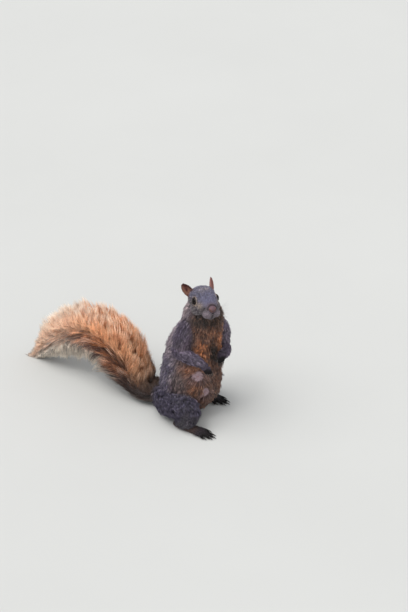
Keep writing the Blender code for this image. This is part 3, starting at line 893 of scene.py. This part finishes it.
base = markings(root, root_zone, root_rim)
bare_zone = share_of(root_zone, "hand", "foot", "ear")
calm = 1 - 0.6 * np.clip(on_muzzle + bare_zone, 0, 1)
tone = np.exp(calm * (0.28 * lock_tone + 0.22 * rng.normal(size=total) + 0.06 * waves(root, 0.006, 41)))[:, None]
luck = 0.5 * lock_luck + 0.5 * rng.uniform(size=total)
warm = np.clip((base[:, 0] / np.maximum(base[:, 2], 1e-6) - 1.1) / 0.8, 0, 1)
pale = blended(base * 1.7, blended(PALE_TIP, WARM_TIP, warm), 0.5)
banded = ease(0.40, 0.28, luck) * (1 - bare_zone) * (1 - 0.6 * on_muzzle) * rng.uniform(0.6, 1.0, total)
banded *= 1 - root_zone[:, [NAMES.index(z) for z in PLAIN]] @ np.array(list(PLAIN.values()))
banded *= 0.1 + 0.9 * ease(0.005, 0.045, base[:, 1])
dark = ease(0.54, 0.66, luck) * rng.uniform(0.35, 0.8, total) * calm
body = blended(base, base * 0.34, dark)
colours = np.stack([body * 0.5 * tone, blended(body, pale, banded * 0.85) * tone,
                    blended(body * 1.05, pale, banded * 0.75) * tone], 1)

label = np.argmax(root_zone, 1)
root_angle, root_high = trunk_angle(root)


def in_zones(*zones):
    return np.isin(label, [NAMES.index(z) for z in zones])


def limb_map(mask):
    """Two limbs side by side: height and the angle round the middle of each."""
    places = np.zeros((total, 2))
    left = root[:, 0] > SHIFT[0]
    for k, limb in enumerate((mask & left, mask & ~left)):
        d = root[limb] - root[limb].mean(0)
        axis = unit(np.linalg.svd(d, full_matrices=False)[2][0])
        across = unit(np.cross(axis, (0.3, 0.2, 0.9)))
        turn = (np.arctan2(d @ np.cross(axis, across), d @ across) / (2 * pi)) % 1.0
        along = d @ axis
        places[limb, 0] = k * 0.51 + turn * 0.49
        places[limb, 1] = (along - along.min()) / (along.max() - along.min() + 1e-9)
    return places


trunk_tufts, head_tufts = in_zones("neck", "chest", "belly", "tail"), in_zones("head", "ear")
upper, front = root_high > 88, np.abs(root_angle) < 90
front_map = np.stack([root_angle / 360 + 0.5, root_high], 1)
back_map = np.stack([((root_angle + 360) % 360) / 360, root_high], 1)
f, l, u = in_head(root).T
head_map = np.stack([np.arctan2(l, u + 3) / (2 * pi) + 0.5,
                     np.arctan2(np.hypot(l, u + 3), f + 5) / pi], 1)
legs, arms, paw_tufts = in_zones("thigh", "shank"), in_zones("upper_arm", "forearm"), in_zones(*PAWS)
for name, mask, places, slot_name in (
    ("fur_chest", trunk_tufts & upper & front, front_map, "chest_coat"),
    ("fur_belly", trunk_tufts & ~upper & front, front_map, "chest_coat"),
    ("fur_back", trunk_tufts & upper & ~front, back_map, "grey_coat"),
    ("fur_rump", trunk_tufts & ~upper & ~front, back_map, "grey_coat"),
    ("fur_head", head_tufts, head_map, "face_coat"),
    ("fur_legs", legs, limb_map(legs), "grey_coat"),
    ("fur_arms", arms, limb_map(arms), "grey_coat"),
    ("fur_paws", paw_tufts, limb_map(paw_tufts), "paw_coat"),
):
    fur_piece(name, mask, (centres, sides, ups, widths, colours), places, fur_look, slot_name)

# ---- tail
HAIRS, LOCKS, TAIL_PIECES = 40000, 3000, 4
TIP_APART = 0.30  # how far apart the tips of a lock are, to how far its roots are
STATIONS = (0.0, 0.38, 0.74, 1.0)  # the places along a hair
HAIR_FLOOR = 0.0004
fine_run = through(TAIL, 60)
fine_path = placed(fine_run[:, :3])
reach = np.concatenate([[0], np.cumsum(size_of(np.diff(fine_path, axis=0)))])
tangents = unit(np.gradient(fine_path, axis=0))
across = unit(np.array((1.0, 0, 0)) - tangents * tangents[:, :1])
above = unit(np.cross(tangents, across))
above *= np.where(above[:, 2:3] < 0, -1, 1)
core_radius = np.interp(np.linspace(0, 1, len(fine_run)), tail_at, CORE)


def tail_place(s, x, y):
    """A point of the tail: s along it in metres, x of its half width across and y of its reach above or below."""
    half, over, under = (np.interp(s, reach, fine_run[:, c]) * MM for c in (3, 4, 5))
    out = np.stack([np.interp(s, reach, fine_path[:, c]) + np.interp(s, reach, across[:, c]) * x * half
                    + np.interp(s, reach, above[:, c]) * y * np.where(y > 0, over, under) for c in range(3)], 1)
    return out + np.maximum(s - reach[-1], 0)[:, None] * tangents[-1]


def limited(values, limit):
    return np.clip(values, -limit, limit)


# Each lock has a place along the tail and round it; its hairs start about there and end closer together.
locks = {
    "start": reach[-1] * rng.uniform(0.0, 0.99, LOCKS),
    "outer": rng.uniform(size=LOCKS) < 0.48,  # above the bone, on the outside of the arch
    "beta": rng.choice((-1.0, 1.0), LOCKS) * rng.uniform(0, 1, LOCKS) ** 0.7,
    "layer": rng.uniform(0, 1, LOCKS) ** 0.55,
    "luck": rng.uniform(size=LOCKS),
    "tone": rng.normal(size=LOCKS),
    "size": rng.uniform(0.86, 1.10, LOCKS),
    "sweep": limited(rng.normal(0, 3.0, LOCKS), 6),
    "on_side": rng.uniform(size=LOCKS) < 0.27,  # on the sides of the tail, between those above and below
    "turn": rng.uniform(58, 98, LOCKS),
}
of_lock = rng.integers(0, LOCKS, HAIRS)
own = {key: values[of_lock] for key, values in locks.items()}
outer, on_side = own["outer"], own["on_side"]
up_down = np.where(outer, 1.0, -1.0)
apart = rng.normal(0, 0.0026, HAIRS)
start = np.clip(own["start"] + apart, 0, reach[-1] * 0.995)
along_tail = start / reach[-1]
own_beta = rng.normal(0, 0.10, HAIRS)
root_theta = limited(own["beta"] + own_beta, 1.15) * np.radians(80)
theta = limited(own["beta"] + own_beta * TIP_APART, 1.1) * np.radians(60)
theta_mid = limited(root_theta * 1.45, np.radians(98))
side_theta = np.radians(np.sign(own["beta"]) * own["turn"] + own_beta * 25)
theta, theta_mid = np.where(on_side, side_theta, theta), np.where(on_side, side_theta, theta_mid)
layer = np.clip(own["layer"] + rng.normal(0, 0.06, HAIRS), 0, 1)
size = (0.68 + 0.38 * layer) * own["size"] * rng.uniform(0.90, 1.04, HAIRS)
size *= np.where(outer, 1.0, 1.06) * np.interp(along_tail, (0, 0.12, 0.85, 1), (0.88, 1.0, 1.0, 1.2))
tip_x, tip_y = np.sin(theta) * size * 0.98, up_down * np.cos(theta) * size
mid_x, mid_y = np.sin(theta_mid) * 0.92 * size, up_down * np.cos(theta_mid) * 0.62 * size
outer_sweep = np.interp(along_tail, (0, 0.1, 0.3, 0.5, 0.75, 1), (14, 22, 17, 4, 3, 16))
under_sweep = np.interp(along_tail, (0, 0.1, 0.4, 0.8, 1), (18, 27, 30, 26, 20))
sweep = np.where(outer, outer_sweep, under_sweep) * rng.uniform(0.75, 1.25, HAIRS)
sweep += np.where(on_side, 5, 6 * (1 - np.abs(np.cos(theta)))) + own["sweep"] * np.where(on_side, 2.0, 1.0)
half = np.interp(start, reach, fine_run[:, 3]) * MM
tall = np.interp(start, reach, (fine_run[:, 4] + fine_run[:, 5]) / 2) * MM
bone_radius = np.interp(start, reach, core_radius)


def bent(t, low, middle, high):
    """A place on the quadratic curve from low to high that bends towards the middle."""
    return (1 - t) ** 2 * low + 2 * t * (1 - t) * middle + t * t * high


def tail_height(t):
    return bent(t, up_down * np.cos(theta_mid) * bone_radius / tall * 0.8, mid_y, tip_y)


def tail_curve(t):
    x = bent(t, np.sin(theta_mid) * bone_radius / half * 0.8, mid_x, tip_x)
    return tail_place(start - apart * (1 - TIP_APART) * t ** 2 + sweep * MM * t ** 1.4, x, tail_height(t))


stations = [tail_curve(t) for t in STATIONS]
for places in stations[1:]:
    places[:, 2] = np.maximum(places[:, 2], HAIR_FLOOR + rng.uniform(0, 0.002, HAIRS))
hair = np.stack(stations, 1)
direction = unit(np.diff(hair, axis=1))
bone = tail_place(start, np.zeros(HAIRS), np.zeros(HAIRS))
outward = unit(tail_place(start, np.sin(theta_mid), up_down * np.cos(theta_mid)) - bone)[:, None]
hair_sides = unit(np.cross(direction, outward + np.array((1e-4, 2e-4, 1e-4))))
hair_ups = np.cross(hair_sides, direction)
hair_width = rng.uniform(0.50, 0.90, HAIRS) * MM
hair_widths = np.stack([hair_width * 0.8, hair_width, hair_width * 0.9], 1)
hair_luck = np.clip(own["luck"] + 0.14 * rng.normal(size=HAIRS), 0, 1)


def picked(test, yes, no):
    return np.where(test[:, None], yes, no)


def tail_colour(k):
    """Colour at a station of each hair: dark along the middle of the sides, and orange to cream outwards."""
    at, high, luck = stations[k], tail_height(STATIONS[k]), hair_luck
    wave = 0.10 * waves(at, 0.012, 63)
    above_it = blended(DEEP, ORANGE, 0.2 + 0.8 * ease(0.0, 0.5, luck + 0.2 * waves(at, 0.014, 64)))
    below_it = picked(luck < 0.34, UMBER, picked(luck < 0.70, DEEP * 0.8, DEEP))
    middle = np.interp(along_tail, (0.1, 0.3, 0.5, 0.7), (0.12, 0.10, -0.12, -0.15))
    stripe = bell(high - middle + wave, 0.32) * np.interp(along_tail, (0.35, 0.5, 0.85), (1, 0.55, 0.10))
    body = layered(below_it, (above_it, ease(-0.15, 0.25, high + wave)),
                   (picked(luck < 0.62, UMBER, DEEP * 0.8), np.clip(stripe * 1.05, 0, 0.92)))
    # painted shade at the tail's root, reaching further out on the underside; the colour is also darkened towards
    # the root
    base_shade = ease(0.22, 0.11, along_tail + 0.02 * waves(at, 0.012, 66) + 0.07 * high)
    body = layered(body * np.interp(along_tail, (0.10, 0.4), (0.60, 1.0))[:, None],
                   (CREAM, 0.42 * ease(0.40, 0.75, along_tail) * (1 - stripe)), (TAIL_BASE_SHADE, base_shade * 0.9))
    if k == 0:
        return body * 0.58
    low = np.interp(along_tail, (0.2, 0.5, 0.75), (-0.38, -0.24, -0.12))
    below_cream = (luck > 0.30) * ease(low + 0.12, low - 0.24, high + wave)
    if k == 1:
        return blended(body * 0.9, CREAM, 0.6 * below_cream * (1 - base_shade))
    ripple = waves(at, 0.008, 65)
    rim = blended(ease(0.70, 0.95, np.abs(high) + 0.08 * ripple)[:, None],
                  ease(0.55, 0.9, np.abs(high) + 0.12 * ripple)[:, None],
                  ease(0.3, 0.5, along_tail))[:, 0]
    rim = rim * np.where(high > 0, np.interp(along_tail, (0.28, 0.50), (0.32, 1.0)), 1)
    frost = np.where(high > 0, rim, np.maximum(rim, 0.95 * below_cream))
    frost = np.maximum(frost, 0.5 * stripe * (luck > 0.88)) * (1 - base_shade * 0.85)
    if k == 2:
        return blended(body, CREAM, frost * np.where(high > 0, 0.45, 0.9))
    return blended(body * 1.1, CREAM, frost * (0.8 + 0.2 * luck))


hair_tone = np.exp(0.09 * own["tone"] + 0.12 * rng.normal(size=HAIRS))[:, None]
hair_colours = np.stack([tail_colour(k) * hair_tone for k in range(len(STATIONS))], 1)
tail_map = np.stack([np.where(outer, theta, pi - theta) % (2 * pi), start], 1)
cuts = np.quantile(start, np.linspace(0, 1, TAIL_PIECES + 1))
for k in range(TAIL_PIECES):
    fur_piece(f"fur_tail_{k + 1}", (start >= cuts[k]) & (start <= cuts[k + 1]),
              (hair, hair_sides, hair_ups, hair_widths, hair_colours), tail_map, tail_look, "tail_coat")

# ---- eyes, nose, teats, claws
LID_TURNS, LID_SIDES = 48, 8
LID_OVER = 0.15  # how far the lids' middle line is over the eyeball
LID_THICK, LID_WIDE = 0.34, 0.42
TEAT_SIZE = (1.1, 1.1, 1.5)


def ball_mesh(name, segments, rings):
    bm = bmesh.new()
    bmesh.ops.create_uvsphere(bm, u_segments=segments, v_segments=rings, radius=1.0)
    mesh = bpy.data.meshes.new(name)
    bm.to_mesh(mesh)
    bm.free()
    mesh.shade_smooth()
    return mesh


eye_look = material("eye_wet_black", 0.05, plain((0.004, 0.003, 0.003), (0.010, 0.006, 0.005), 900.0,
                                                 octaves=2.0, rough=0.5), Specular_IOR_Level=0.12)
nose_look = material("nose_skin", 0.5, varied(0.75, 1.15, 1500.0, 0.5), Specular_IOR_Level=0.35)
claw_look = material("claw_horn", 0.35, plain(tint(24, 20, 20), tint(50, 42, 40), 700.0, 0.2))
lid_look = material("lid_skin", 0.5, plain(tint(34, 26, 26), tint(58, 44, 42), 1800.0, 0.4))
teat_look = material("teat_skin", 0.6, plain(tint(150, 116, 120), tint(178, 144, 146), 900.0, 0.4))

for side, middle in eyes.items():
    ball = ball_mesh("eyeball_" + side, 40, 28)
    ball.transform(Matrix.Translation(middle) @ Matrix.Scale(EYE_RADIUS * MM, 4))
    thing("eyeball_" + side, ball, eye_look, "eye", "eye_" + side)


def nose():
    mesh = ball_mesh("nose", 72, 54)
    co = read(mesh.vertices, "co", 3)
    nostril, wing = np.zeros(len(co)), np.zeros(len(co))
    for s in (1, -1):
        path = unit([(0.84, s * 0.34, -0.42), (0.74, s * 0.62, -0.26), (0.50, s * 0.86, 0.02)])
        nostril = np.maximum(nostril, groove(co, path, 0.13, 1.0))
        wing = np.maximum(wing, groove(co, path, 0.38, 1.0))
    cleft = bell(co[:, 1], 0.11) * ease(0.25, -0.6, co[:, 2]) * ease(0, 0.4, co[:, 0])
    shade = layered(NOSE_SKIN, (NOSE_WING, np.clip(wing, 0, 1) * ease(0.1, 0.6, np.abs(co[:, 1]))),
                    # painted shade in the nostrils and the cleft
                    (NOSTRIL_SHADE, np.clip(nostril * 1.6, 0, 1)), (NOSTRIL_SHADE, cleft * 0.75))
    co[:, 1] *= np.interp(co[:, 2], *NOSE_TAPER)
    co = co * (1 + 0.08 * wing - 0.46 * nostril - 0.16 * cleft)[:, None]
    move(mesh, from_head(co * NOSE_SIZE + NOSE_AT))
    colour_attribute(mesh, shade)
    return mesh


thing("nose", nose(), nose_look, "face_coat")
for i, (at, _, gap) in enumerate(bare_at):
    teat = ball_mesh(f"teat_{i + 1}", 20, 14)
    upright = Vector(smooth_normal[np.argmin(gap)]).to_track_quat("Z", "Y").to_matrix().to_4x4()
    scale = Matrix.Diagonal((*(each * MM for each in TEAT_SIZE), 1))
    teat.transform(Matrix.Translation(Vector(at)) @ upright @ scale)
    thing(f"teat_{i + 1}", teat, teat_look, "chest_coat")


def lids(side):
    out, long, high = eye_axes(side)
    turn = np.arange(LID_TURNS) * 2 * pi / LID_TURNS
    x, y = OPEN_LONG * np.cos(turn), OPEN_HIGH * np.sin(turn)
    z = np.sqrt(np.maximum((EYE_RADIUS + LID_OVER) ** 2 - x ** 2 - y ** 2, 0.5))
    middle_line = eyes[side] + (x[:, None] * long + y[:, None] * high + z[:, None] * out) * MM
    away = unit(middle_line - eyes[side])
    other = np.cross(unit(np.roll(middle_line, -1, 0) - np.roll(middle_line, 1, 0)), away)
    small = (np.arange(LID_SIDES) * 2 * pi / LID_SIDES)[None, :, None]
    points = (middle_line[:, None] + (np.cos(small) * away[:, None] * LID_THICK
              + np.sin(small) * other[:, None] * LID_WIDE) * MM).reshape(-1, 3)
    faces = []
    for i, k in product(range(LID_TURNS), range(LID_SIDES)):
        here, there, after = i * LID_SIDES, (i + 1) % LID_TURNS * LID_SIDES, (k + 1) % LID_SIDES
        faces.append((here + k, here + after, there + after, there + k))
    return mesh_of("lids_" + side, points, np.array(faces))


for side in eyes:
    thing("lids_" + side, lids(side), lid_look, "face_coat")
for name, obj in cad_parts.items():
    if name.startswith("claw_"):
        obj.data.materials.clear()
        obj.data.materials.append(claw_look)


# ---- whiskers
def whiskers():
    roots, tips = [], []
    for s, row, k in product((1, -1), range(4), range(4)):
        roots.append((21.5 - 2.4 * k, s * (6.6 + 0.9 * k) * 1.2, -13.5 - 1.7 * row))
        spray = unit((0.30 - 0.32 * k, s * 0.95, 0.30 - 0.28 * row))
        tips.append(np.array(roots[-1]) + spray * (17 + 2.2 * k))
    roots, tips, count = np.array(roots), np.array(tips), len(roots)
    sag, stops = np.array((-2.0, 0, -1.2)), (-0.12, 0.25, 0.5, 0.75, 1.0)
    along = np.stack([from_head(roots + (tips - roots) * t + sag * t * t) for t in stops], 1)
    ways = unit(np.diff(along, axis=1))
    sides = unit(np.cross(ways, AXES[:, 2]))
    thick = np.tile(np.array((0.22, 0.20, 0.16, 0.11)) * MM, (count, 1))
    places = np.stack([np.arange(count) % 6, np.arange(count) // 6], 1).astype(float)
    colours = np.tile(WHISKER, (count, len(stops), 1))
    return hair_mesh("whiskers", along, sides, np.cross(sides, ways), thick, colours, filled(places))


thing("whiskers", whiskers(), fur_look, "face_coat")

# ---- camera, light, floor
PHOTO_WIDE, PHOTO_TALL = 408, 612  # in pixels
EYES_IN_PHOTO = (205.4, 299.5)
PITCH = 0.00129  # metres to a pixel at the eyes
CAMERA_TURN, CAMERA_HIGH = radians(-54), radians(32)
CAMERA_AWAY = 3.0
SENSOR = 36  # in mm
SUN_AWAY = 2.0


def aimed(name, data, at, way):
    """An object at a place that looks back along a way."""
    made = linked(name, data)
    made.location = at
    made.rotation_mode = "QUATERNION"
    made.rotation_quaternion = Vector(way).to_track_quat("Z", "Y")
    return made


def camera():
    flat = cos(CAMERA_HIGH)
    back = np.array((sin(CAMERA_TURN) * flat, -cos(CAMERA_TURN) * flat, sin(CAMERA_HIGH)))
    right = np.array((cos(CAMERA_TURN), sin(CAMERA_TURN), 0))
    off_x, off_y = EYES_IN_PHOTO[0] - PHOTO_WIDE / 2, EYES_IN_PHOTO[1] - PHOTO_TALL / 2
    aim = (eyes["left"] + eyes["right"]) / 2 - right * off_x * PITCH + np.cross(back, right) * off_y * PITCH
    data = bpy.data.cameras.new("camera")
    data.sensor_width = SENSOR
    data.lens = SENSOR * CAMERA_AWAY / (PHOTO_TALL * PITCH)
    bpy.context.scene.camera = aimed("camera", data, aim + back * CAMERA_AWAY, back)
    return back, right


def sun(name, way, power, spread, colour):
    data = bpy.data.lights.new(name, "SUN")
    data.energy, data.angle, data.color = power, radians(spread), colour
    aimed(name, data, unit(way) * SUN_AWAY, unit(way))


back, right = camera()
UP = np.array((0, 0, 1.0))
sun("key", back * 0.30 - right * 0.60 + UP * 1.1, 1.7, 50, (1.0, 0.99, 0.97))
sun("glint", back * 0.5 - right * 0.35 + UP * 0.75, 0.25, 9, (1.0, 1.0, 1.0))
sun("fill", back * 0.9 + right * 0.6 + UP * 0.5, 0.5, 90, (1.0, 0.97, 0.94))
world = bpy.data.worlds.new("studio")
world.use_nodes = True
sky = world.node_tree.nodes["Background"].inputs
sky["Color"].default_value, sky["Strength"].default_value = (0.86, 0.89, 0.93, 1), 0.62
bpy.context.scene.world = world
bpy.context.scene.view_settings.view_transform = "Standard"

bm = bmesh.new()
bmesh.ops.create_grid(bm, x_segments=2, y_segments=2, size=12)
floor_mesh = bpy.data.meshes.new("floor")
bm.to_mesh(floor_mesh)
bm.free()
floor = linked("floor", floor_mesh)
floor_mesh.materials.append(material("floor_paper", 0.9, plain((0.62, 0.62, 0.60), (0.66, 0.66, 0.64), 3.0, 0.02)))
